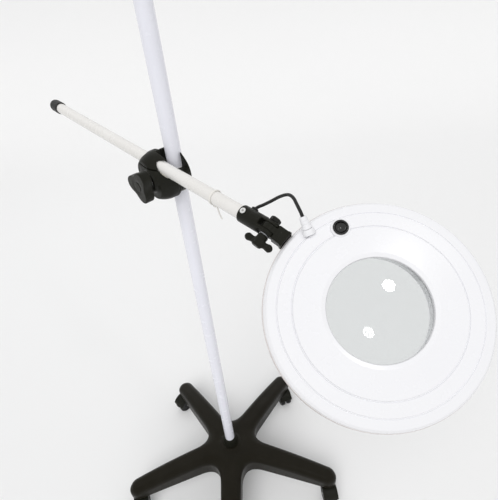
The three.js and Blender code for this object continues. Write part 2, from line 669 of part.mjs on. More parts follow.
// The lead from the sleeve to the boot on the head, in the arm's frame. It leaves the sleeve
// sideways, arches over beside the hinge bolt and comes down into the boot.
function lead(group, headToArm) {
  const lean = new THREE.Vector3(...BOOT_LEAN).normalize();
  const ends = [5, 1.5, -2, -8].map((past) => {
    const inBoot = lean.clone().multiplyScalar(BOOT_LENGTH + past);
    return inBoot.add(new THREE.Vector3(...BOOT_ROOT)).applyMatrix4(headToArm);
  });
  const route = [
    [-34.5, 8.8, 0], [-34.5, 12, 0], [-34.4, 14.8, 0.1], [-32.4, 18, 0.6], [-28, 22.6, 1.6],
    [-20.6, 31, 4], [-12.6, 39.6, 7.5], [-4.4, 44.6, 11], [2, 45.4, 13.6], [10.3, 43.2, 15.6],
    [18.4, 38.6, 15.4],
  ].map(([x, y, z]) => new THREE.Vector3(HINGE + x, y, z));
  const path = new THREE.CatmullRomCurve3([...route, ...ends], false, "centripetal");
  const section = new THREE.Shape();
  section.absarc(0, 0, 2.1, 0, 2 * Math.PI, false);
  const cable = new THREE.ExtrudeGeometry(section, {
    steps: 30, extrudePath: path, curveSegments: 4,
  });
  place(group, "lead", geometryOf(solidOf(cable)), RUBBER);
}

// ---- The whole lamp -----------------------------------------------------------------
function magnifyingLamp() {
  const lamp = new THREE.Group();
  const stand = frameAt(lamp, [0, 0, 0]);
  place(stand, "star_base", starBase(), BASE_NYLON);
  poleFoot(stand);
  casters(stand);
  const swivel = frameAt(stand, [0, 0, CLAMP_HEIGHT], [0, 0, degrees(ARM_AZIMUTH)]);
  const pitched = clamp(swivel);
  const armFrame = frameAt(pitched, [0, -ARM_OUT, ARM_LIFT], [degrees(HEAD_ROLL), 0, 0]);
  arm(armFrame);
  const tilted = frameAt(armFrame, [HINGE, 0, 0], [0, degrees(HEAD_TILT), 0]);
  const headFrame = frameAt(tilted, [HINGE_REACH, HEAD_SIDE, HINGE_DROP]);
  head(headFrame);
  headFrame.updateMatrix();
  tilted.updateMatrix();
  lead(armFrame, tilted.matrix.clone().multiply(headFrame.matrix));
  // The lamp stands with the middle of its bounding box over the origin.
  lamp.updateMatrixWorld(true);
  const middle = new THREE.Box3().setFromObject(lamp, true).getCenter(new THREE.Vector3());
  stand.position.set(-middle.x, -middle.y, 0);
  return lamp;
}

export default magnifyingLamp();
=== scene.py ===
# A magnifying lamp on a wheeled stand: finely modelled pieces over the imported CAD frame.
import json
import math

import bpy
import numpy as np
from mathutils import Matrix, Vector


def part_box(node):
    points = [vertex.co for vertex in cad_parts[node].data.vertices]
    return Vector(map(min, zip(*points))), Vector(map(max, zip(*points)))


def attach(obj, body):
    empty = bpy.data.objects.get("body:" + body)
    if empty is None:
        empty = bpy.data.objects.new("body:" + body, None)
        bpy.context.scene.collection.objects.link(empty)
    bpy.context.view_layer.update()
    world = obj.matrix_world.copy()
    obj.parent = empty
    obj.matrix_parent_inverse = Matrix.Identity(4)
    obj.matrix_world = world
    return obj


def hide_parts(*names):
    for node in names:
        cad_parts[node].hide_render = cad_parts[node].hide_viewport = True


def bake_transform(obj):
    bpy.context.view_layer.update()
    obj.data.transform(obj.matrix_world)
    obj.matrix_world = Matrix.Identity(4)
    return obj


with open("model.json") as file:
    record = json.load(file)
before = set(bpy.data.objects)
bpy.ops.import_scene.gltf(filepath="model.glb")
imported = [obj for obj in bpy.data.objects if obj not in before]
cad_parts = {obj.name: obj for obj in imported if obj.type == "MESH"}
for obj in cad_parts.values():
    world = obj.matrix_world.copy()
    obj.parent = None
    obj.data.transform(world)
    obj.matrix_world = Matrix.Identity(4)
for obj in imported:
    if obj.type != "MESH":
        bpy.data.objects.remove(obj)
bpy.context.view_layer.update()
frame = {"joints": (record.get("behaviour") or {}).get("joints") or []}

MM = 0.001
JOINTS = {joint["name"]: joint for joint in frame["joints"]}
rad = math.radians


# ---- Frames of the joints. The pieces' points in them are in millimetres -----------------
def frame_at(origin, x, y, z):
    """A frame with the given axes, at a point in metres."""
    placed = Matrix((x, y, z)).transposed().to_4x4()
    placed.translation = Vector(origin)
    return placed


def pos(joint):
    return Vector(JOINTS[joint]["pos_m"])


def axis(joint):
    return Vector(JOINTS[joint]["axis"]).normalized()


UP = Vector((0, 0, 1))
POLE = pos("clamp_turn")
STAND = Matrix.Translation((POLE.x, POLE.y, 0))
BOLT = axis("arm_tilt")
SWIVEL = frame_at(POLE, BOLT.cross(UP), BOLT, UP)
ARM_X = axis("arm_roll")
PITCHED = frame_at(POLE, ARM_X, BOLT, ARM_X.cross(BOLT))
HINGE_Y = axis("head_tilt")
ARM = frame_at(pos("arm_roll"), ARM_X, HINGE_Y, ARM_X.cross(HINGE_Y))
HEAD_UP = HINGE_Y.cross(axis("switch_rock")).normalized()
HEAD_X = HINGE_Y.cross(HEAD_UP)
HINGE = (pos("head_tilt") - pos("arm_roll")).length / MM  # along the arm
HINGE_REACH, HEAD_SIDE, HINGE_DROP = 156.8, -4, 8  # from the hinge to the head's middle
HEAD = frame_at(pos("head_tilt"), HEAD_X, HINGE_Y, HEAD_UP)
HEAD.translation = HEAD @ Vector((HINGE_REACH * MM, HEAD_SIDE * MM, HINGE_DROP * MM))
SWITCH_AT = (-88.1, 51.6, 0)
ROCKER = frame_at(pos("switch_rock"), axis("switch_rock").cross(HEAD_UP),
                  axis("switch_rock"), HEAD_UP)
CASTERS = []
for number in range(1, 6):
    stem = pos(f"caster_swivel_{number}")
    along = axis(f"wheel_left_roll_{number}")
    CASTERS.append(frame_at((stem.x, stem.y, 0), along.cross(UP), along, UP))
FIRST_LEG, LEG_GAP = rad(-20), rad(72)
CASTER_RADIUS = 270


# ---- Materials ---------------------------------------------------------------------------
class Nodes:
    """A short way to build a procedural material round one Principled shader."""

    def __init__(self, name, color, roughness, **inputs):
        self.material = bpy.data.materials.new(name)
        self.material.use_nodes = True
        self.tree = self.material.node_tree
        self.shader = self.tree.nodes["Principled BSDF"]
        self.color = color
        self.put("Base Color", (*color, 1))
        self.put("Roughness", roughness)
        for key, value in inputs.items():
            self.put(key.replace("_", " "), value)
        self.coords = self.add("ShaderNodeTexCoord").outputs["Object"]
        self.height = None

    def put(self, socket, value):
        self.shader.inputs[socket].default_value = value

    def add(self, kind, **settings):
        node = self.tree.nodes.new(kind)
        for key, value in settings.items():
            setattr(node, key, value)
        return node

    def link(self, a, b):
        self.tree.links.new(a, b)

    def noise(self, size_mm, detail=3, stretch=(1, 1, 1), roughness=0.5):
        mapping = self.add("ShaderNodeMapping")
        mapping.inputs["Scale"].default_value = stretch
        self.link(self.coords, mapping.inputs["Vector"])
        noise = self.add("ShaderNodeTexNoise")
        noise.inputs["Scale"].default_value = 1 / (size_mm * MM)
        noise.inputs["Detail"].default_value = detail
        noise.inputs["Roughness"].default_value = roughness
        self.link(mapping.outputs["Vector"], noise.inputs["Vector"])
        return noise.outputs["Fac"]

    def cells(self, size_mm):
        cells = self.add("ShaderNodeTexVoronoi", feature="SMOOTH_F1")
        cells.inputs["Scale"].default_value = 1 / (size_mm * MM)
        cells.inputs["Smoothness"].default_value = 0.6
        self.link(self.coords, cells.inputs["Vector"])
        return cells.outputs["Distance"]

    def span(self, value, low, high, start=0.3, stop=0.7):
        ranged = self.add("ShaderNodeMapRange")
        for key, number in zip(("From Min", "From Max", "To Min", "To Max"),
                               (start, stop, low, high)):
            ranged.inputs[key].default_value = number
        self.link(value, ranged.inputs["Value"])
        return ranged.outputs["Result"]

    def rough(self, value, low, high, start=0.3, stop=0.7):
        self.link(self.span(value, low, high, start, stop), self.shader.inputs["Roughness"])
        return self

    def tint(self, value, other, low=0.0, high=1.0, start=0.3, stop=0.7):
        """Mixes the base colour towards another where a value is high."""
        mix = self.add("ShaderNodeMix", data_type="RGBA")
        held = self.shader.inputs["Base Color"]
        if held.is_linked:
            self.link(held.links[0].from_socket, mix.inputs["A"])
        else:
            mix.inputs["A"].default_value = held.default_value
        mix.inputs["B"].default_value = (*other, 1)
        self.link(self.span(value, low, high, start, stop), mix.inputs["Factor"])
        self.link(mix.outputs["Result"], held)
        return self

    def edges(self, other, amount, start=0.53, stop=0.6):
        pointy = self.add("ShaderNodeNewGeometry").outputs["Pointiness"]
        return self.tint(pointy, other, 0, amount, start, stop)

    def bump(self, value, depth_mm, strength=1.0):
        bump = self.add("ShaderNodeBump")
        bump.inputs["Distance"].default_value = depth_mm * MM
        bump.inputs["Strength"].default_value = strength
        self.link(value, bump.inputs["Height"])
        if self.height is not None:
            self.link(self.height, bump.inputs["Normal"])
        self.height = bump.outputs["Normal"]
        self.link(self.height, self.shader.inputs["Normal"])
        return self


def moulded(name, color, roughness, grain_mm, depth_mm, wear, lighter):
    """Moulded plastic: a fine grain, a slow drift in gloss, and edges rubbed lighter."""
    nodes = Nodes(name, color, roughness, Specular_IOR_Level=0.17)
    drift = nodes.noise(45, 2)
    nodes.rough(nodes.noise(6, 4), roughness - 0.06, roughness + 0.07)
    nodes.tint(drift, lighter, 0, 0.25)
    nodes.edges(lighter, wear)
    nodes.bump(nodes.cells(grain_mm), depth_mm)
    nodes.bump(nodes.noise(12, 2), 0.05)
    return nodes


def painted(name, color, roughness, shade):
    """Powder coat: a soft orange peel under a clear gloss, with faint handling marks."""
    nodes = Nodes(name, color, roughness, Coat_Weight=0.35, Coat_Roughness=0.12)
    nodes.tint(nodes.noise(60, 3), shade, 0, 0.35)
    nodes.rough(nodes.noise(14, 4), roughness - 0.05, roughness + 0.08)
    nodes.bump(nodes.noise(1.6, 1), 0.012)
    return nodes


def plated(name, color, roughness, grain=(1, 1, 12), metallic=1.0):
    """Plated or brushed metal, with its grain drawn out along one axis."""
    nodes = Nodes(name, color, roughness, Metallic=metallic)
    nodes.rough(nodes.noise(0.8, 4, grain), roughness - 0.08, roughness + 0.12)
    nodes.tint(nodes.noise(9, 3), tuple(0.7 * c for c in color), 0, 0.4)
    nodes.bump(nodes.noise(0.5, 2, grain), 0.01)
    return nodes


def white_plastic(name, color, shade):
    """The head's glossy white plastic, with a faint waviness of the mould."""
    nodes = Nodes(name, color, 0.24, Coat_Weight=0.25, Coat_Roughness=0.16)
    nodes.tint(nodes.noise(80, 2), shade, 0, 0.3)
    nodes.rough(nodes.noise(20, 4), 0.2, 0.32)
    nodes.bump(nodes.noise(30, 1), 0.06)
    nodes.bump(nodes.noise(0.9, 2), 0.004)
    return nodes


def lens_glass():
    """Clear glass with faint smears where hands have been."""
    nodes = Nodes("lens_glass", (0.88, 0.9, 0.9), 0.0, Transmission_Weight=1.0, IOR=1.5)
    nodes.rough(nodes.noise(18, 3), 0.0, 0.004, 0.55, 0.75)
    return nodes


def soft_rubber(name, color, roughness):
    nodes = Nodes(name, color, roughness)
    nodes.rough(nodes.noise(5, 4), roughness - 0.08, roughness + 0.08)
    nodes.tint(nodes.noise(16, 3), tuple(1.8 * c for c in color), 0, 0.5)
    nodes.bump(nodes.noise(0.35, 2), 0.02)
    return nodes


def board():
    """A white circuit board with rings of track."""
    nodes = Nodes("circuit", (0.8, 0.8, 0.76), 0.4)
    copper = nodes.add("ShaderNodeTexWave", wave_type="RINGS", rings_direction="Z")
    copper.inputs["Scale"].default_value = 60
    nodes.link(nodes.coords, copper.inputs["Vector"])
    nodes.tint(copper.outputs["Fac"], (0.72, 0.7, 0.6), 0, 0.5)
    nodes.bump(copper.outputs["Fac"], 0.03)
    return nodes


def frosted():
    """The milky, dimpled cover of the lamps."""
    nodes = Nodes("diffuser", (0.86, 0.86, 0.83), 0.55, Transmission_Weight=0.25, IOR=1.46)
    nodes.bump(nodes.cells(1.4), 0.25)
    nodes.rough(nodes.noise(4, 3), 0.48, 0.62)
    return nodes


OLIVE_BLACK = (0.0098, 0.0098, 0.0068)
PAINTS = {
    "base_nylon": moulded("base_nylon", (0.0088, 0.0072, 0.0036), 0.36, 0.8, 0.025, 0.05,
                          (0.018, 0.016, 0.012)),
    "black_plastic": moulded("black_plastic", OLIVE_BLACK, 0.38, 0.6, 0.03, 0.25,
                             (0.026, 0.026, 0.02)),
    "wheel_nylon": moulded("wheel_nylon", (0.012, 0.012, 0.012), 0.34, 0.9, 0.02, 0.3,
                           (0.04, 0.04, 0.042)),
    "pole_paint": painted("pole_paint", (0.86, 0.865, 0.93), 0.22, (0.8, 0.8, 0.88)),
    "arm_paint": painted("arm_paint", (0.82, 0.805, 0.78), 0.24, (0.75, 0.73, 0.7)),
    "white_plastic": white_plastic("white_plastic", (0.88, 0.88, 0.9), (0.84, 0.84, 0.87)),
    "steel": plated("steel", (0.62, 0.63, 0.65), 0.26),
    "black_steel": plated("black_steel", (0.03, 0.03, 0.027), 0.36),
    "liner_nylon": moulded("liner_nylon", (0.66, 0.63, 0.56), 0.5, 0.8, 0.03, 0.2,
                           (0.74, 0.72, 0.66)),
    "rubber": soft_rubber("rubber", (0.0125, 0.0125, 0.012), 0.5),
    "glass": lens_glass(),
    "circuit": board(),
    "diffuser": frosted(),
}
# The bottom cover is the same white plastic as the top, given a darker, pinker colour here: painted
# shade on the side wall, with a warm painted reflection.
SIDE_PAINTED_SHADE = white_plastic("side_painted_shade", (0.7, 0.65, 0.635), (0.68, 0.635, 0.63))
NICKEL = plated("nickel", (0.86, 0.86, 0.85), 0.3, metallic=0.35)
TIE_NYLON = moulded("tie_nylon", (0.8, 0.78, 0.74), 0.4, 0.8, 0.02, 0.1, (0.86, 0.85, 0.82))
GLOSS_BLACK = Nodes("gloss_black", (0.014, 0.014, 0.013), 0.16, Coat_Weight=0.4,
                    Coat_Roughness=0.05)
GLOSS_BLACK.bump(GLOSS_BLACK.noise(3, 2), 0.02)
GLOSS_BLACK.rough(GLOSS_BLACK.noise(5, 3), 0.12, 0.24)


# ---- Meshes ------------------------------------------------------------------------------
def make(name, points, faces, place, body, paint, *nodes, sharp=38, material=None):
    """A piece from points in millimetres in the frame called place."""
    spots = np.asarray(points, float) * MM
    matrix = np.array(place)
    spots = spots @ matrix[:3, :3].T + matrix[:3, 3]
    mesh = bpy.data.meshes.new(name)
    mesh.from_pydata(spots.tolist(), [], [list(map(int, face)) for face in faces])
    mesh.update()
    mesh.polygons.foreach_set("use_smooth", [True] * len(mesh.polygons))
    mesh.set_sharp_from_angle(angle=rad(sharp))
    mesh.materials.append((material or PAINTS[paint]).material)
    piece = bpy.data.objects.new(name, mesh)
    bpy.context.scene.collection.objects.link(piece)
    if body:
        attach(piece, body)
    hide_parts(*nodes)
    return piece


def weighted(piece):
    """Shades the flat and round faces of a lathed piece evenly."""
    piece.modifiers.new("even_shading", "WEIGHTED_NORMAL").keep_sharp = True
    return piece


def fillet(corners, closed=True, steps=5):
    """Rounds a profile's corners. Each corner is (r, z) or (r, z, radius)."""
    count = len(corners)
    path = []
    for i, corner in enumerate(corners):
        here = np.array(corner[:2], float)
        radius = corner[2] if len(corner) > 2 else 0
        ends = not closed and i in (0, count - 1)
        if radius <= 0 or ends:
            path.append(here)
            continue
        before = np.array(corners[i - 1][:2], float) - here
        after = np.array(corners[(i + 1) % count][:2], float) - here
        la, lb = np.linalg.norm(before), np.linalg.norm(after)
        before, after = before / la, after / lb
        half = math.acos(max(-1, min(1, float(before @ after)))) / 2
        if half > rad(89.5):
            path.append(here)
            continue
        reach = min(radius / math.tan(half), 0.49 * la, 0.49 * lb)
        radius = reach * math.tan(half)
        middle = here + (before + after) / np.linalg.norm(before + after) * radius / math.sin(half)
        a, b = here + before * reach - middle, here + after * reach - middle
        turn = math.atan2(a[0] * b[1] - a[1] * b[0], float(a @ b))
        for k in range(steps + 1):
            c, s = math.cos(turn * k / steps), math.sin(turn * k / steps)
            path.append(middle + np.array([c * a[0] - s * a[1], s * a[0] + c * a[1]]))
    return path


def turned(corners, segments=96, closed=True, steps=5, along="z"):
    """Points and faces of a solid of revolution with a rounded profile."""
    path = fillet(corners, closed, steps)
    points, faces, rows = [], [], []
    for r, z in path:
        if r < 1e-6:
            rows.append([len(points)] * segments)
            points.append((0, 0, z))
            continue
        rows.append(list(range(len(points), len(points) + segments)))
        for k in range(segments):
            angle = 2 * math.pi * k / segments
            points.append((r * math.cos(angle), r * math.sin(angle), z))
    pairs = zip(rows, rows[1:] + rows[:1]) if closed else zip(rows, rows[1:])
    for a, b in pairs:
        for k in range(segments):
            n = (k + 1) % segments
            face = list(dict.fromkeys((a[k], a[n], b[n], b[k])))
            if len(face) > 2:
                faces.append(face)
    points = np.array(points)
    if along == "x":
        points = points[:, [2, 0, 1]]
    if along == "y":
        points = points[:, [1, 2, 0]]
    return points, faces


# ---- Rounded solids from distance fields -------------------------------------------------
def length(*parts):
    return np.sqrt(sum(part * part for part in parts))


def both(a, b, radius):
    """Where two fields overlap, with the edge between them rounded."""
    outside = length(np.maximum(a + radius, 0), np.maximum(b + radius, 0))
    return outside + np.minimum(np.maximum(a, b) + radius, 0) - radius


def less(a, b, radius):
    """The first field without the second."""
    return both(a, -b, radius)


def either(a, b, blend):
    """Two fields joined by a soft fillet."""
    mix = np.clip(0.5 + 0.5 * (b - a) / blend, 0, 1)
    return b * (1 - mix) + a * mix - blend * mix * (1 - mix)


def slab(value, low, high):
    """Everything between two parallel planes."""
    return np.abs(value - (low + high) / 2) - (high - low) / 2


def block(x, y, z, low, high, radius):
    flat = both(slab(x, low[0], high[0]), slab(y, low[1], high[1]), radius)
    return both(flat, slab(z, low[2], high[2]), radius)


def shaped(field, low, high, step):
    """A smooth mesh of the surface where a distance field is zero, by surface nets."""
    counts = [int(math.ceil((h - l) / step)) + 1 for l, h in zip(low, high)]
    axes = [l + step * np.arange(n) for l, n in zip(low, counts)]
    grid = np.meshgrid(*axes, indexing="ij", sparse=True)
    value = np.broadcast_to(field(*grid), counts).astype(np.float32)
    inside = value < 0
    cells = [n - 1 for n in counts]

    def corner(array, i, j, k):
        return array[i:i + cells[0], j:j + cells[1], k:k + cells[2]]

    corners = [(i, j, k) for i in (0, 1) for j in (0, 1) for k in (0, 1)]
    total = sum(corner(inside, *c).astype(np.int8) for c in corners)
    active = (total > 0) & (total < 8)
    spots = np.argwhere(active)
    index = np.full(cells, -1, np.int64)
    index[active] = np.arange(len(spots))
    summed = np.zeros((len(spots), 3))
    crossings = np.zeros(len(spots))
    for a in corners:
        for turn in range(3):
            if a[turn]:
                continue
            b = tuple(1 if n == turn else a[n] for n in range(3))
            va = value[tuple((spots + a).T)].astype(float)
            vb = value[tuple((spots + b).T)].astype(float)
            crossed = (va < 0) != (vb < 0)
            share = np.where(crossed, va / np.where(crossed, va - vb, 1), 0)
            spot = np.array(a, float)[None].repeat(len(spots), 0)
            spot[:, turn] += share
            summed += spot * crossed[:, None]
            crossings += crossed
    points = (spots + summed / crossings[:, None]) * step + np.array(low)
    for _ in range(3):
        x, y, z = points.T
        here = field(x, y, z)
        small = 0.05 * step
        slope = np.stack([
            field(x + small, y, z) - field(x - small, y, z),
            field(x, y + small, z) - field(x, y - small, z),
            field(x, y, z + small) - field(x, y, z - small),
        ], 1) / (2 * small)
        steep = np.maximum((slope ** 2).sum(1), 0.25)
        move = slope * (here / steep)[:, None]
        size = np.linalg.norm(move, axis=1)
        move *= np.minimum(1, 0.4 * step / np.maximum(size, 1e-9))[:, None]
        points = points - move
    faces = []
    for turn in range(3):
        u, v = (turn + 1) % 3, (turn + 2) % 3
        low_end = [slice(None)] * 3
        high_end = [slice(None)] * 3
        low_end[turn], high_end[turn] = slice(0, -1), slice(1, None)
        first, second = inside[tuple(low_end)], inside[tuple(high_end)]
        edge = np.argwhere(first != second)
        kept = (edge[:, u] > 0) & (edge[:, v] > 0)
        kept &= (edge[:, u] < cells[u]) & (edge[:, v] < cells[v])
        edge = edge[kept]
        quad = []
        for du, dv in ((-1, -1), (0, -1), (0, 0), (-1, 0)):
            cell = edge.copy()
            cell[:, u] += du
            cell[:, v] += dv
            quad.append(index[tuple(cell.T)])
        quad = np.stack(quad, 1)
        flip = ~first[tuple(edge.T)]
        quad[flip] = quad[flip][:, ::-1]
        faces.append(quad)
    return points, np.concatenate(faces)


# ---- Base --------------------------------------------------------------------------------
LEG_ROOT, LEG_TAPER = 31, 8  # half the leg's width at the hub, and what it loses outwards
BASE_WALL = 4.4
POLE_BORE_R, SOCKET_FLOOR = 12.8, 88


def star_field(x, y, z):
    """Five tapering legs round a hub, ribbed underneath, with the socket for the pole."""
    r = length(x, y)
    angle = np.abs((np.arctan2(y, x) - FIRST_LEG + LEG_GAP / 2) % LEG_GAP - LEG_GAP / 2)

    def leg_plan(turn):
        u, v = r * np.cos(angle - turn), r * np.sin(angle - turn)
        half = LEG_ROOT - LEG_TAPER * np.clip(u / CASTER_RADIUS, 0, 1) ** 0.8
        past = np.maximum(u - CASTER_RADIUS, 0)
        return np.where(u > 0, length(past, v) - half, r - half)

    plan = either(leg_plan(0), leg_plan(LEG_GAP), 56)
    out = np.clip(r / CASTER_RADIUS, 0, 1.06)
    top = 130.5 - 35.5 * out ** 2
    floor = 78 - 18 * out ** 1.3
    skin = both(plan, z - top, 16)
    swell = both(r - 25.5, z - 131.8, 3)
    skin = either(skin, swell, 7)
    body = both(skin, floor - z, 1.6)
    inner = both(plan + BASE_WALL, z - top + BASE_WALL, 15)
    length_range = slab(r, 66, CASTER_RADIUS - 20)
    pockets = both(inner, length_range, 4)
    ribs = np.minimum(slab(r, 118.5, 121.5), slab(r, 183.5, 186.5))
    pockets = less(pockets, ribs, 1)
    body = less(body, pockets, 1)
    body = less(body, both(r - 17, z - 78, 0.5), 1)
    body = less(body, both(r - 5.5, z - 98, 0.5), 0.6)
    return less(body, both(r - POLE_BORE_R, SOCKET_FLOOR - z, 0.5), 0.8)


make("star_base_moulding", *shaped(star_field, (-298, -298, 56), (298, 298, 136), 2.0),
     STAND, "stand", "base_nylon", "star_base", sharp=60)


def place_turned(name, corners, place, body, paint, *nodes, **more):
    """A lathed piece from its profile."""
    material = more.pop("material", None)
    sharp = more.pop("sharp", 38)
    points, faces = turned(corners, **more)
    return weighted(make(name, points, faces, place, body, paint, *nodes,
                         sharp=sharp, material=material))


POLE_R, POLE_TOP = 12.5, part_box("pole_top_plug")[1].z / MM
place_turned("pole", [(11, 88.3, .3), (POLE_R, 88.3, .4), (POLE_R, POLE_TOP - 2.4, .4),
                      (11, POLE_TOP - 2.4, .3)], STAND, "stand", "pole_paint", "pole_tube")
place_turned("pole_collar", [
    (12.8, 132.3), (19, 132.3, .8), (18.3, 140, 4), (15.7, 158.6, 1.6), (12.8, 160, .3),
], STAND, "stand", "black_plastic", "hub_collar")
place_turned("pole_plug", [
    (0, POLE_TOP - 22), (10.7, POLE_TOP - 22, .8), (10.7, POLE_TOP - 2.1),
    (POLE_R, POLE_TOP - 2.1, .2), (POLE_R, POLE_TOP - 1.2, .6), (11, POLE_TOP, 1), (0, POLE_TOP),
], STAND, "stand", "black_plastic", "pole_top_plug", closed=False)
place_turned("foot_insert", [
    (4.4, 88.3, .4), (10.7, 88.3, .4), (10.7, 114.3, .6), (4.4, 114.3, .4),
], STAND, "stand", "steel", "pole_foot_insert")
place_turned("foot_washer", [(5.2, 75.7, .2), (14, 75.7, .4), (14, 77.7, .4), (5.2, 77.7, .2)],
             STAND, "stand", "steel", "pole_foot_washer")


def hex_field(x, y, half_flats):
    return np.maximum(np.abs(x), np.maximum(np.abs(x * 0.5 + y * 0.8660254),
                                            np.abs(x * 0.5 - y * 0.8660254))) - half_flats


def foot_bolt(x, y, z):
    head = both(hex_field(x, y, 8), slab(z, 68.5, 75.4), 0.5)
    head = both(head, length(x, y) - 8.9 + 0.5 * np.maximum(69.8 - z, 0), 0.3)
    return np.minimum(head, both(length(x, y) - 4.1, slab(z, 70, 110), 0.6))


make("foot_bolt", *shaped(foot_bolt, (-11, -11, 67), (11, 11, 112), 0.5), STAND, "stand", "steel",
     "pole_foot_bolt", sharp=30)


# ---- Casters -----------------------------------------------------------------------------
WHEEL_R, TRAIL = 25, 18
AXLE_BORE_R = 3.3


def hood_field(x, y, z):
    """A fender over both wheels, with the web between them and the boss for the stem."""
    across, up = x + TRAIL, z - WHEEL_R
    r = length(across, up)
    sector = both(-(up * math.cos(rad(8)) - across * math.sin(rad(8))),
                  -(across * math.sin(rad(158)) - up * math.cos(rad(158))), 3)
    outer = both(r - 28.5, np.abs(y) - 19.5, 6)
    room = both(r - 26.5, np.abs(y) - 17.6, 5)
    fender = both(less(outer, room, 0.5), sector, 0.8)
    side = both(both(r - 28, np.abs(np.abs(y) - 18.4) - 0.9, 0.6), 21 - r, 0.6)
    fender = either(fender, both(side, sector, 0.8), 1.5)
    web = both(both(r - 27, np.abs(y) - 4.3, 0.6), sector, 1.5)
    hub = both(r - 8, np.abs(y) - 4.3, 0.8)
    body = either(either(fender, web, 1.5), hub, 5)
    boss = both(length(x, y) - 10.2, slab(z, 35, 52.4), 1)
    body = either(body, boss, 5)
    wheel_room = both(both(r - 26, 4.4 - np.abs(y), 0.5), np.abs(y) - 17.4, 0.5)
    body = less(body, wheel_room, 0.4)
    body = less(body, both(r - 20.8, 4.4 - np.abs(y), 0.5), 0.5)
    body = less(body, r - AXLE_BORE_R, 0.5)
    body = less(body, both(length(x, y) - 8.6, 52.4 - z, 0.3), 0.3)
    return less(body, both(length(x, y) - 4.3, 37.7 - z, 0.3), 0.5)


hood_points, hood_faces = shaped(hood_field, (-50, -22, 10), (13, 22, 57), 0.85)
wheel_points, wheel_faces = turned([
    (3.3, 4.6, .4), (8, 4.6, .5), (8.8, 5.6, .5), (19, 5.6, .6), (20, 4.6, .6), (24.2, 4.9, 1.2),
    (25, 7, 2), (25, 13.6, 3), (22.4, 16.9, 1.6), (19.4, 17.1, .8), (18.6, 16.2, .6),
    (10, 15.8, .6), (9, 17, .8), (5, 17.1, .8), (4.2, 16.6, .4), (3.3, 16.6, .3),
], 72, along="y", steps=4)
stem_points, stem_faces = turned([
    (0, 38), (4, 38, .5), (4, 53.2, .2), (8, 53.4, .5), (8, 55.4, .5), (5.3, 55.6, .4),
    (5.3, 70, .3), (5.5, 71, .4), (5.5, 72.4, .4), (5.3, 73.4, .3), (5.3, 78, .5), (4.2, 79.4, .4),
    (0, 79.4),
], 40, closed=False, steps=3)
axle_points, axle_faces = turned([(0, -17.8), (3, -17.8, .6), (3, 17.8, .6), (0, 17.8)], 32,
                                 closed=False, steps=3, along="y")
axle_points = axle_points + np.array([-TRAIL, 0, WHEEL_R])
for number, spot in enumerate(CASTERS, 1):
    body = f"caster_{number}"
    make(f"hood_{number}", hood_points, hood_faces, spot, body, "black_plastic",
         f"caster_hood_{number}", sharp=60)
    weighted(make(f"stem_{number}", stem_points, stem_faces, spot, body, "steel",
                  f"caster_stem_{number}"))
    weighted(make(f"axle_{number}", axle_points, axle_faces, spot, body, "steel",
                  f"caster_axle_{number}"))
    for side, sign in (("left", 1), ("right", -1)):
        flat = wheel_points * np.array([1, sign, 1]) + np.array([-TRAIL, 0, WHEEL_R])
        faces = wheel_faces if sign > 0 else [face[::-1] for face in wheel_faces]
        weighted(make(f"wheel_{side}_{number}", flat, faces, spot, f"wheel_{side}_{number}",
                      "wheel_nylon", f"caster_wheel_{side}_{number}"))


# ---- Cross clamp -------------------------------------------------------------------------
ARM_OUT, ARM_LIFT, SPLIT = 29, 19, 16
POLE_HALF_R, ARM_HALF_R = 33, 35
SILL = 9
CLAMP_BORE_R = 4.3
DOME_SLOPE = rad(42)


def pole_half(x, y, z):
    """The drum round the pole, open for the bolt's eye."""
    along = np.clip((z - x) / 10, 0, 1) * 5
    r = length(x + along, z - along) - POLE_HALF_R
    drum = both(r, slab(y, 0.2 - SPLIT, 5), 2.2)
    rim = both(np.abs(r) - 1.0, slab(y, -14.4, -12.8), 0.5)
    window = both(both(-13.6 - x, y - 2, 1), SILL - z, 2)
    body = less(less(drum, rim, 0.4), window, 1.2)
    body = less(body, length(x, y) - 13.9, 1)
    eye = both(length(x, y) - 16.9, np.abs(z) - 7.9, 0.5)
    body = less(body, eye, 0.5)
    return less(body, both(length(x, z) - CLAMP_BORE_R, y + 10, 0.3), 0.4)


def arm_half(x, y, z):
    """The dome round the arm: four lobes run together, with a boss for the knob."""
    out = -y
    dome = None
    lobes = ((0, 0, ARM_HALF_R, 28.5), (-9, 4, 31, 33), (-17, 6, 29, 37), (2, -9, 28, 40))
    for cx, cz, radius, shoulder in lobes:
        r = length(x - cx, z - cz)
        cone = (r - radius + 1) * math.cos(DOME_SLOPE) + (out - shoulder) * math.sin(DOME_SLOPE)
        lobe = both(both(r - radius, cone, 9), out - 47, 1)
        dome = lobe if dome is None else either(dome, lobe, 5)
    body = both(dome, SPLIT + 0.2 - out, 1.4)
    boss = both(length(x, z) - 17.2 + 0.13 * (out - 44), slab(out, 38, 53), 1)
    body = either(body, boss, 4)
    groove = both(slab(out, 19.6, 21.2), -(dome + 1.0), 0.4)
    body = less(body, groove, 0.4)
    body = less(body, length(y + ARM_OUT, z - ARM_LIFT) - 10.9, 1.4)
    window = both(both(-14 - x, ARM_LIFT - 2 - z, 1), out - ARM_OUT + 5, 1)
    body = less(body, window, 1.4)
    body = less(body, both(np.abs(z - ARM_LIFT) - 0.8, ARM_OUT - out, 0.3), 0.4)
    body = less(body, both(length(x, z) - 11.2, out - SPLIT - 1.1, 0.4), 0.4)
    return less(body, length(x, z) - CLAMP_BORE_R, 0.4)


make("clamp_inner", *shaped(pole_half, (-41, -19, -36), (36, 8, 41), 0.8), SWIVEL,
     "clamp_swivel", "black_plastic", "clamp_pole_half", sharp=60)
make("clamp_dome", *shaped(arm_half, (-50, -56, -40), (38, -14, 46), 0.8), PITCHED,
     "arm_pitch", "black_plastic", "clamp_arm_half", sharp=60)


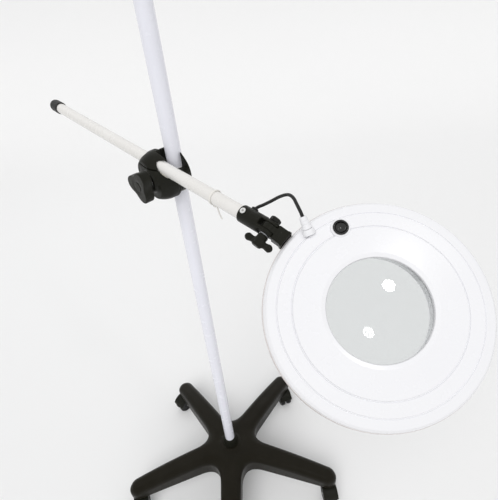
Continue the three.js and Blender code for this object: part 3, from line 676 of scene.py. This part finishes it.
def eye_bolt(x, y, z):
    eye = both(both(length(x, y) - 16.6, 13.9 - length(x, y), 0.6), np.abs(z) - 7.6, 0.8)
    shank = both(length(x, z) - 4, slab(y, -69, -15), 0.6)
    return either(eye, shank, 2)


make("clamp_bolt", *shaped(eye_bolt, (-18, -70, -9), (18, 18, 9), 0.8), SWIVEL, "clamp_swivel",
     "black_steel", "clamp_eye_bolt", sharp=60)


def knob_field(x, y, z):
    """A three-lobed grip with a dished face, over a skirt."""
    out = -y
    r, turn = length(x, z), np.arctan2(z, x)
    lobes = 22.6 - 4.6 * np.cos(3 * turn)
    grip = both(0.86 * (r - lobes), slab(out, 58, 73), 1.8)
    dish = length(r, out - 73 - 60) - 61.2
    grip = less(grip, dish, 0.8)
    cap = both(r - 7.5, slab(out, 60, 73), 0.8)
    grip = either(grip, cap, 0.8)
    skirt = both(r - 18 + 0.7 * np.maximum(59.5 - out, 0), slab(out, 55.3, 62), 0.8)
    body = either(grip, skirt, 1.5)
    return less(body, both(r - CLAMP_BORE_R, out - 70, 0.3), 0.4)


make("clamp_knob_grip", *shaped(knob_field, (-30, -76, -30), (30, -53, 30), 0.6), PITCHED,
     "clamp_knob", "black_plastic", "clamp_knob", sharp=60)
place_turned("clamp_washer_disc", [
    (4.4, -55, .2), (12.5, -55, .4), (12.5, -53.3, .4), (4.4, -53.3, .2),
], PITCHED, "arm_pitch", "steel", "clamp_washer", along="y")


def pole_liner(x, y, z):
    wall = both(length(x, y) - 13.6, 12.8 - length(x, y), 0.15)
    wall = both(wall, slab(z, -31, SILL - 0.5), 0.2)
    return less(wall, both(np.abs(x) - 1.2, -y, 0.2), 0.2)


def arm_liner(x, y, z):
    wall = both(length(y, z) - 10.6, 9.8 - length(y, z), 0.15)
    wall = both(wall, slab(x, -26, 26), 0.2)
    up = z * math.cos(ARM_ROLL) + y * math.sin(ARM_ROLL)
    wall = less(wall, both(-17 - x, -3 - up, 0.4), 0.2)
    return less(wall, both(both(np.abs(z) - 1, y, 0.1), x - 3, 0.1), 0.15)


ARM_ROLL = math.acos(max(-1, min(1, BOLT.dot(HINGE_Y))))
SLIT_TURN = math.atan2(SWIVEL[1][0], SWIVEL[0][0])
ON_POLE = STAND @ Matrix.Translation((0, 0, POLE.z)) @ Matrix.Rotation(SLIT_TURN, 4, "Z")
make("pole_liner_sleeve", *shaped(pole_liner, (-15, -15, -32), (15, 15, 10), 0.4), ON_POLE,
     "clamp_slider", "liner_nylon", "pole_liner", sharp=60)
make("arm_liner_sleeve", *shaped(arm_liner, (-27, -12, -12), (27, 12, 12), 0.4), ARM,
     "arm_turner", "liner_nylon", "arm_liner", sharp=60)


# ---- Arm ---------------------------------------------------------------------------------
ARM_REAR, SLEEVE_REAR, RIVET_AT = -350, 179, 185.5
ARM_R, SLEEVE_R, FORK_END = 9.5, 11.7, 11
HINGE_BORE_R, LEAD_HOLE = 3.3, 34.5  # the lead's hole is that far behind the hinge
TIE_AT = 126
place_turned("arm_pipe", [(8.3, ARM_REAR, .3), (ARM_R, ARM_REAR, .4), (ARM_R, HINGE - 26, .4),
                          (8.3, HINGE - 26, .3)], ARM, "arm", "arm_paint", "arm_tube", along="x",
             segments=80)
place_turned("arm_cap", [
    (0, ARM_REAR - 4), (10.6, ARM_REAR - 4, 2.2), (11.4, ARM_REAR + 2, 1),
    (11.4, ARM_REAR + 20.5, .8), (10.9, ARM_REAR + 24, 1.0), (9.8, ARM_REAR + 24, .2),
    (9.8, ARM_REAR - .3), (0, ARM_REAR - .3),
], ARM, "arm", "rubber", "arm_end_cap", closed=False, along="x", segments=64)


def sleeve_field(x, y, z):
    """The sleeve on the arm's front end, slotted into a fork for the head's tongue."""
    t = x - HINGE
    r = length(y, z)
    body = both(r - SLEEVE_R, SLEEVE_REAR - x, 1.2)
    flats = both(body, np.where(t > -9.5, np.abs(y) - 9.3, -9), 0.8)
    body = both(flats, np.where(t > 0, length(t, z) - FORK_END, np.abs(z) - 30), 0.8)
    tube = both(r - 9.8, t + 25.7, 0.4)
    body = less(body, tube, 0.8)
    slot = both(np.abs(y) - 4.5, -12.5 - t, 1)
    body = less(body, slot, 0.9)
    bolt = both(length(t, z) - HINGE_BORE_R, -30 + 0 * y, 0.2)
    body = less(body, bolt, 0.5)
    body = less(body, both(length(x - RIVET_AT, y) - 2.6, -z, 0.2), 0.3)
    return less(body, both(length(t + LEAD_HOLE, z) - 4.7, -y, 0.2), 0.5)


make("arm_sleeve", *shaped(sleeve_field, (177, -13, -13), (HINGE + 13, 13, 13), 0.5), ARM, "arm",
     "black_plastic", "head_sleeve", sharp=60)
place_turned("rivet", [
    (1.5, 9.9), (2.3, 9.9, .2), (2.3, 11.9, .2), (4, 11.9, .25), (3.8, 12.8, .6), (2.6, 13.3, .6),
    (1.5, 12.7, .3),
], ARM @ Matrix.Translation((RIVET_AT * MM, 0, 0)), "arm", "steel", "sleeve_rivet", segments=48,
             material=NICKEL)
AT_HINGE = ARM @ Matrix.Translation((HINGE * MM, 0, 0))


def hinge_bolt(x, y, z):
    head = both(hex_field(x, z, 6.5), slab(y, 9.5, 15.7), 0.5)
    head = both(head, length(x, z) - 7.4 + 0.6 * np.maximum(y - 14.4, 0), 0.3)
    recess = both(length(x, z) - 3.4, 15 - y, 0.4)
    head = less(head, recess, 0.4)
    return np.minimum(head, both(length(x, z) - 3, slab(y, -22, 10), 0.5))


make("hinge_screw", *shaped(hinge_bolt, (-9, -24, -9), (9, 17, 9), 0.45), AT_HINGE, "arm",
     "black_steel", "hinge_bolt", sharp=30)
place_turned("hinge_washer_disc", [
    (HINGE_BORE_R, -10.8, .2), (7, -10.8, .4), (7, -9.5, .4), (HINGE_BORE_R, -9.5, .2),
], AT_HINGE, "arm", "steel", "hinge_washer", along="y", segments=48)


def wing_field(x, y, z):
    """A wing nut: a barrel with two thick wings."""
    out = -y
    r = length(x, z)
    barrel = both(r - 7.2 + 0.06 * (out - 11), slab(out, 11.1, 27.3), 1.6)
    reach = np.abs(x)
    tip = length(reach - 17.2, z, (out - 21.6) * 1.05) - 4.6
    arm = both(np.abs(z) - 2.7 - 0.03 * reach, slab(out, 17.4, 25.4), 2.4)
    arm = both(arm, reach - 17.2, 0.5)
    wings = either(arm, tip, 3)
    body = either(barrel, wings, 3.5)
    return less(body, both(r - HINGE_BORE_R, out - 23, 0.3), 0.4)


make("wing_nut", *shaped(wing_field, (-24, -30, -10), (24, -9, 10), 0.45), AT_HINGE, "wing_knob",
     "black_plastic", "wing_knob", sharp=60)


def tie_strap():
    points, faces = turned([(9.8, -1.8, .2), (11, -1.8, .4), (11, 1.8, .4), (9.8, 1.8, .2)], 80,
                           along="x", steps=3)
    return points + np.array([TIE_AT, 0, 0]), faces


def tie_lock(x, y, z):
    """The tie's lock and its short toothed tail."""
    lock = block(x - TIE_AT, y, z, (-2.6, -2.8, -14.5), (2.6, 2.8, -10.4), 0.7)
    lean = rad(18)
    down = z + 11.5
    along = -down * math.cos(lean) + (x - TIE_AT) * math.sin(lean)
    across = (x - TIE_AT) * math.cos(lean) + down * math.sin(lean)
    curl = y - 1.6 - 0.004 * np.maximum(along, 0) ** 2
    tail = both(both(np.abs(across) - 1.3, np.abs(curl) - 0.62, 0.3), slab(along, 0, 24), 0.4)
    teeth = both(np.abs(curl - 0.62) - 0.12, 0.3 * np.cos(along * 5.2), 0.05)
    return either(lock, less(tail, teeth, 0.05), 0.6)


TIE = ARM @ Matrix.Rotation(-ARM_ROLL, 4, "X")
weighted(make("tie_band", *tie_strap(), TIE, "arm", "liner_nylon", "cable_tie",
              material=TIE_NYLON))
make("tie_head", *shaped(tie_lock, (121, -4, -36), (136, 6, -9), 0.35), TIE, "arm", "liner_nylon",
     "cable_tie", sharp=60, material=TIE_NYLON)

# ---- Lead --------------------------------------------------------------------------------
BOOT_ROOT = Vector((-113.5, 25, 3.2))
BOOT_LEAN = Vector((-17.5, 9.2, 10.5)).normalized()
BOOT_LENGTH = 22
BOOT_TURN = UP.rotation_difference(BOOT_LEAN).to_matrix().to_4x4()
BOOT = HEAD @ Matrix.Translation(BOOT_ROOT * MM) @ BOOT_TURN
LEAD_R = 2.1


def lead_route():
    """Points of the lead's middle line in the arm's frame, as the CAD has them."""
    sideways = [(-LEAD_HOLE, 8.8, 0), (-LEAD_HOLE, 12, 0), (-34.4, 14.8, .1), (-32.4, 18, .6),
                (-28, 22.6, 1.6), (-20.6, 31, 4), (-12.6, 39.6, 7.5), (-4.4, 44.6, 11),
                (2, 45.4, 13.6), (10.3, 43.2, 15.6), (18.4, 38.6, 15.4)]
    route = [Vector((HINGE + x, y, z)) for x, y, z in sideways]
    to_arm = ARM.inverted() @ HEAD
    for past in (5, 1.5, -2, -8):
        spot = (BOOT_ROOT + BOOT_LEAN * (BOOT_LENGTH + past)) * MM
        route.append((to_arm @ spot) / MM)
    return route


def smooth_path(route, steps):
    """A centripetal Catmull-Rom curve through the route's points."""
    route = [2 * route[0] - route[1], *route, 2 * route[-1] - route[-2]]
    path = []
    for a, b, c, d in zip(route, route[1:], route[2:], route[3:]):
        knots = [0.0]
        for p, q in ((a, b), (b, c), (c, d)):
            knots.append(knots[-1] + math.sqrt((q - p).length))
        for k in range(steps):
            t = knots[1] + (knots[2] - knots[1]) * k / steps

            def mixed(p, q, i, j):
                return p * ((knots[j] - t) / (knots[j] - knots[i])) + q * (
                    (t - knots[i]) / (knots[j] - knots[i]))

            ab, bc, cd = mixed(a, b, 0, 1), mixed(b, c, 1, 2), mixed(c, d, 2, 3)
            path.append(mixed(mixed(ab, bc, 0, 2), mixed(bc, cd, 1, 3), 1, 2))
    path.append(route[-2])
    return path


def tube(path, radius, sides):
    """A round tube along a path, with its ends closed."""
    points, faces = [], []
    side = Vector((0, 0, 1))
    for i, spot in enumerate(path):
        ahead = (path[min(i + 1, len(path) - 1)] - path[max(i - 1, 0)]).normalized()
        side = (side - ahead * side.dot(ahead)).normalized()
        other = ahead.cross(side)
        for k in range(sides):
            angle = 2 * math.pi * k / sides
            points.append(spot + (side * math.cos(angle) + other * math.sin(angle)) * radius)
    for i in range(len(path) - 1):
        for k in range(sides):
            n = (k + 1) % sides
            faces.append((i * sides + k, i * sides + n, (i + 1) * sides + n, (i + 1) * sides + k))
    faces.append(tuple(range(sides))[::-1])
    faces.append(tuple(range(len(points) - sides, len(points))))
    return points, faces


lead_line = smooth_path(lead_route(), 8)
lead = make("lead_flex", *tube(lead_line, LEAD_R, 28), ARM, None, "rubber", "lead")
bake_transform(lead)
place_turned("lead_bush", [
    (2.3, 9.9), (4.4, 9.9, .2), (4.4, 12, .2), (5.3, 12, .4), (5, 13.4, .8), (3.4, 14.6, .6),
    (2.3, 14.6, .3),
], ARM @ Matrix.Translation(((HINGE - LEAD_HOLE) * MM, 0, 0)), "arm", "rubber", "lead_grommet",
             along="y", segments=48)
place_turned("boot", [
    (2.3, 6.3), (6.4, 6.3, .6), (6.4, 8.4, .6), (5.5, 9.2, .4), (5.3, 11.4, .3), (4.9, 11.8, .2),
    (4.9, 12.8, .2), (5.2, 13.2, .2), (5, 15.4, .3), (4.6, 15.8, .2), (4.6, 16.8, .2),
    (4.9, 17.2, .2), (4.4, BOOT_LENGTH, .8), (2.3, BOOT_LENGTH, .3),
], BOOT, "head", "white_plastic", "lead_boot", segments=64)

# ---- Head --------------------------------------------------------------------------------
SEAM, SKIN, FLOOR = -9, 2.4, -33
HEAD_R, BODY_R = 128, 131.4
top_points, top_faces = turned([
    (64, -2.4, .3), (64, -30.4, .3), (66.4, -30.4, .3), (66.4, 5.2, .5), (92, 3.6, 1), (95, 1.0, 1),
    (110.5, .2, 1), (113.2, -1.4, 1), (HEAD_R - 4, -4.6, 2), (BODY_R - SKIN - 1.4, SEAM, .3),
    (BODY_R - 1.4, SEAM, .5), (HEAD_R + .4, -4.4, 4), (HEAD_R - 2.6, -.9, 3), (114.9, 1.5, .8),
    (114.4, .3, .35), (113.7, .3, .35), (113.1, 2.6, .9), (97.6, 3.9, .9), (97, 2.5, .35),
    (96.3, 2.5, .35), (95.6, 5.2, 1.2), (64.4, 7.6, 3), (59.4, 6.4, 1.4), (58.8, 4.6, 1.2),
    (58.8, 3.2, .3), (60.2, 2.8, .3), (60.2, -2.4, .3),
], 288, steps=6)


def carve(piece, *tools):
    """Cuts the tools' shapes out of a piece, or adds the ones marked to be joined."""
    bpy.context.view_layer.update()
    for mode, tool in tools:
        cut = piece.modifiers.new("cut", "BOOLEAN")
        cut.operation, cut.object, cut.solver = mode, tool, "EXACT"
    bpy.context.view_layer.update()
    graph = bpy.context.evaluated_depsgraph_get()
    mesh = bpy.data.meshes.new_from_object(piece.evaluated_get(graph))
    piece.modifiers.clear()
    piece.data = mesh
    for _, tool in tools:
        bpy.data.objects.remove(tool)
    return piece


def tool(corners, place, segments=72, closed=False):
    """A lathed shape for carve to cut or join with."""
    mesh = bpy.data.meshes.new("tool")
    points, faces = turned(corners, segments, closed)
    spots = np.asarray(points) * MM
    matrix = np.array(place)
    mesh.from_pydata((spots @ matrix[:3, :3].T + matrix[:3, 3]).tolist(), [], faces)
    shape = bpy.data.objects.new("tool", mesh)
    bpy.context.scene.collection.objects.link(shape)
    return shape


cover = make("head_cover_top", top_points, top_faces, HEAD, "head", "white_plastic",
             "head_top_cover")
SWITCH = HEAD @ Matrix.Translation(Vector(SWITCH_AT) * MM)
carve(cover,
      ("UNION", tool([(0, -1), (7.8, -1, .2), (7.5, 3, .8), (6.7, 6, .6), (0, 6)], BOOT)),
      ("UNION", tool([(0, 1), (12, 1), (11.4, 7, 1), (0, 7)], SWITCH)),
      ("DIFFERENCE", tool([(0, -30), (8.2, -30), (8.2, 30), (0, 30)], SWITCH)))
weighted(cover)
# The bottom cover's material paints shade and a warm reflection onto its white side wall.
place_turned("head_cover_bottom", [
    (103, FLOOR, .6), (117, FLOOR, 6), (126.8, -31.4, 6), (130.8, -27.6, 5), (BODY_R, -22, 6),
    (BODY_R, -14, 6), (BODY_R - .9, SEAM - .4, .6), (BODY_R - SKIN - 1, SEAM - .4, .4),
    (BODY_R - SKIN, -14, 4), (BODY_R - SKIN, -22, 5), (128.2, -26.4, 4), (125, -29.2, 4),
    (116.4, -30.6, 4), (103, -30.6, .6),
], HEAD, "head", "white_plastic", "head_bottom_cover", segments=288, material=SIDE_PAINTED_SHADE)

LENS_R, LENS_CROWN = 63.5, 5.9
LENS_TOP, LENS_EDGE = -3.2, 3
rings = 28
dome = [(LENS_R * i / rings, LENS_CROWN * (1 - (i / rings) ** 2)) for i in range(rings + 1)]
lens_path = [(r, LENS_TOP - LENS_EDGE - rise) for r, rise in dome]
lens_path += [(r, LENS_TOP + rise) for r, rise in reversed(dome)]
make("lens_glass", *turned(lens_path, 192, closed=False), HEAD, "head", "glass", "lens", sharp=50)
place_turned("lens_retainer", [
    (61, FLOOR, .8), (73, FLOOR, .8), (73, -30.8, .4), (63.6, -30.8, .4), (63.6, -7.6, .3),
    (61, -7.6, .4),
], HEAD, "head", "white_plastic", "lens_ring", segments=192)
place_turned("light_board", [(70, -5, .2), (93, -5, .2), (93, -3.4, .2), (70, -3.4, .2)], HEAD,
             "head", "circuit", "led_board", segments=144)
place_turned("light_diffuser", [
    (66.8, -30.2, .4), (72, -30.2, 1), (74, -29.4, 1), (100, -29.4, 1), (102, -30.2, 1),
    (106, -30.2, .4), (106, -28.4, .4), (66.8, -28.4, .4),
], HEAD, "head", "diffuser", "diffuser", segments=192)
place_turned("switch_rim", [
    (0, -14), (7.9, -14, .5), (7.9, 7.3, .2), (9.3, 7.3, .3), (9.2, 8.5, .8), (8.1, 9.3, .7),
    (6.9, 8.7, .4), (6.9, -12, .3), (0, -12),
], SWITCH, "head", "black_plastic", "switch_bezel", closed=False, material=GLOSS_BLACK)


def rocker_field(x, y, z):
    """A ball cut to a round rocker with a finger hollow in each half, pressed to one side."""
    slope = rad(12)
    along = x * math.cos(slope) - z * math.sin(slope)
    up = z * math.cos(slope) + x * math.sin(slope)
    body = both(length(x, y, z) - 6.5, length(along, up) - 6.2, 0.4)
    for sign in (-1, 1):
        face = up * math.cos(slope) + sign * along * math.sin(slope) - 2.35
        hollow = length(along - sign * 3.4, y, up - 9.4) - 8.2
        body = both(body, face, 0.5)
        body = less(body, hollow, 0.5)
    return body


make("switch_button", *shaped(rocker_field, (-8, -8, -8), (8, 8, 5), 0.3), ROCKER, "rocker",
     "black_plastic", "switch_rocker", sharp=60, material=GLOSS_BLACK)


def hinge_knuckle(t, side, up):
    """The black knuckle between the fork and the head's rim."""
    tongue = both(length(t, up) - 10.4, np.abs(side) - 4.1, 0.6)
    neck = block(t, side, up, (0, -4.1, -9.5), (16, 4.1, 8.6), 0.8)
    body = block(t, side, up, (9, -9.8, -9.5), (34, 9.8, 8.4), 1.6)
    flange = block(t, side, up, (21.8, -10.8, -10.4), (34, 10.8, 7), 1.2)
    fork = both(length(t, up) - FORK_END - 0.9, 4.1 - np.abs(side), 0.3)
    body = less(either(body, flange, 1.2), fork, 0.9)
    shape = either(either(body, neck, 0.8), tongue, 0.8)
    rim = length(t - HINGE_REACH, side - HEAD_SIDE) - BODY_R - 0.1
    shape = less(shape, rim, 0.3)
    return less(shape, length(t, up) - HINGE_BORE_R, 0.4)


KNUCKLE = frame_at(pos("head_tilt"), HEAD_X, HINGE_Y, HEAD_UP)
make("knuckle", *shaped(hinge_knuckle, (-12, -13, -12), (34, 13, 12), 0.5), KNUCKLE, "head",
     "black_plastic", "head_knuckle", sharp=60)


# ---- Camera, floor and light -------------------------------------------------------------
# The camera was solved together with the pole from the photograph.
PITCH, ROLL = rad(35.95), rad(-5.52)
EYE = Vector((POLE.x + 0.10207, POLE.y - 0.5956, 1.21615))
SENSOR_MM, FOCAL_PX, FRAME_PX = 36, 400, 500
look = Vector((0, math.cos(PITCH), -math.sin(PITCH)))
over = Vector((0, math.sin(PITCH), math.cos(PITCH)))
right = Vector((1, 0, 0)) * math.cos(ROLL) + over * math.sin(ROLL)
above = over * math.cos(ROLL) - Vector((1, 0, 0)) * math.sin(ROLL)
camera = bpy.data.objects.new("camera", bpy.data.cameras.new("camera"))
camera.data.sensor_width = SENSOR_MM
camera.data.lens = SENSOR_MM * FOCAL_PX / FRAME_PX
camera.data.clip_start, camera.data.clip_end = 0.05, 60
camera.matrix_world = frame_at(EYE, right, above, -look)
bpy.context.scene.collection.objects.link(camera)
bpy.context.scene.camera = camera

# The floor runs back and turns up into a wall in one sweep, so that no horizon shows.
FLOOR_FRONT, FLOOR_BACK, SWEEP_R, WALL_TOP, FLOOR_SIDE = -7, 2.4, 1.6, 7, 8
SWEEP = [(FLOOR_FRONT, 0), (FLOOR_BACK, 0)]
SWEEP += [(FLOOR_BACK + SWEEP_R * math.sin(rad(t)), SWEEP_R - SWEEP_R * math.cos(rad(t)))
          for t in range(6, 91, 6)]
SWEEP.append((FLOOR_BACK + SWEEP_R, WALL_TOP))
floor_mesh = bpy.data.meshes.new("floor")
floor_mesh.from_pydata([(x, y, z) for y, z in SWEEP for x in (-FLOOR_SIDE, FLOOR_SIDE)], [],
                       [(2 * k, 2 * k + 1, 2 * k + 3, 2 * k + 2) for k in range(len(SWEEP) - 1)])
floor_mesh.polygons.foreach_set("use_smooth", [True] * len(floor_mesh.polygons))
floor = bpy.data.objects.new("floor", floor_mesh)
bpy.context.scene.collection.objects.link(floor)
floor_paint = Nodes("floor_paint", (0.87, 0.87, 0.87), 0.85, Specular_IOR_Level=0.1)
floor_paint.rough(floor_paint.noise(300, 2), 0.8, 0.95)
floor_mesh.materials.append(floor_paint.material)


def aimed(name, kind, spot, aim, power, tone=(1, 1, 1), **settings):
    """A light at one point that shines towards another."""
    light = bpy.data.objects.new(name, bpy.data.lights.new(name, kind))
    light.data.energy, light.data.color = power, tone
    for key, value in settings.items():
        setattr(light.data, key, value)
    light.location = spot
    light.rotation_mode = "QUATERNION"
    light.rotation_quaternion = (Vector(aim) - Vector(spot)).to_track_quat("-Z", "Y")
    bpy.context.scene.collection.objects.link(light)
    return light


MIDDLE = Vector((0, 0, 0.6))
SUN_STRENGTH, WINDOW_WATTS, LAMP_WATTS, SKY_STRENGTH = 1.45, 3, 2, 0.53
LAMP_DISTANCE, LAMP_WIDTH = 1.6, 0.19
daylight = aimed("daylight", "SUN", (-0.5, -1.5, 2.6), MIDDLE, SUN_STRENGTH, angle=rad(40))
window = aimed("window", "AREA", (-1.1, 1.5, 2.0), MIDDLE, WINDOW_WATTS, (0.94, 0.97, 1),
               shape="SQUARE", size=0.9)
# The two broad lights are hidden from every mirrored and refracted ray, on all glossy
# surfaces, so that the lens mirrors only the round lamp.
for broad in (daylight, window):
    broad.visible_glossy = broad.visible_transmission = False
# A round lamp overhead, seen twice in the lens: in its front and its back.
LENS_AT = HEAD.translation
OVERHEAD = Vector((0.335, -0.358, 0.872)).normalized()
aimed("ceiling_lamp", "AREA", LENS_AT + LAMP_DISTANCE * OVERHEAD, LENS_AT, LAMP_WATTS,
      shape="DISK", size=LAMP_WIDTH)
world = bpy.data.worlds.new("studio")
world.use_nodes = True
world.node_tree.nodes["Background"].inputs["Color"].default_value = (1, 1, 1, 1)
world.node_tree.nodes["Background"].inputs["Strength"].default_value = SKY_STRENGTH
bpy.context.scene.world = world
bpy.context.scene.view_settings.view_transform = "Standard"
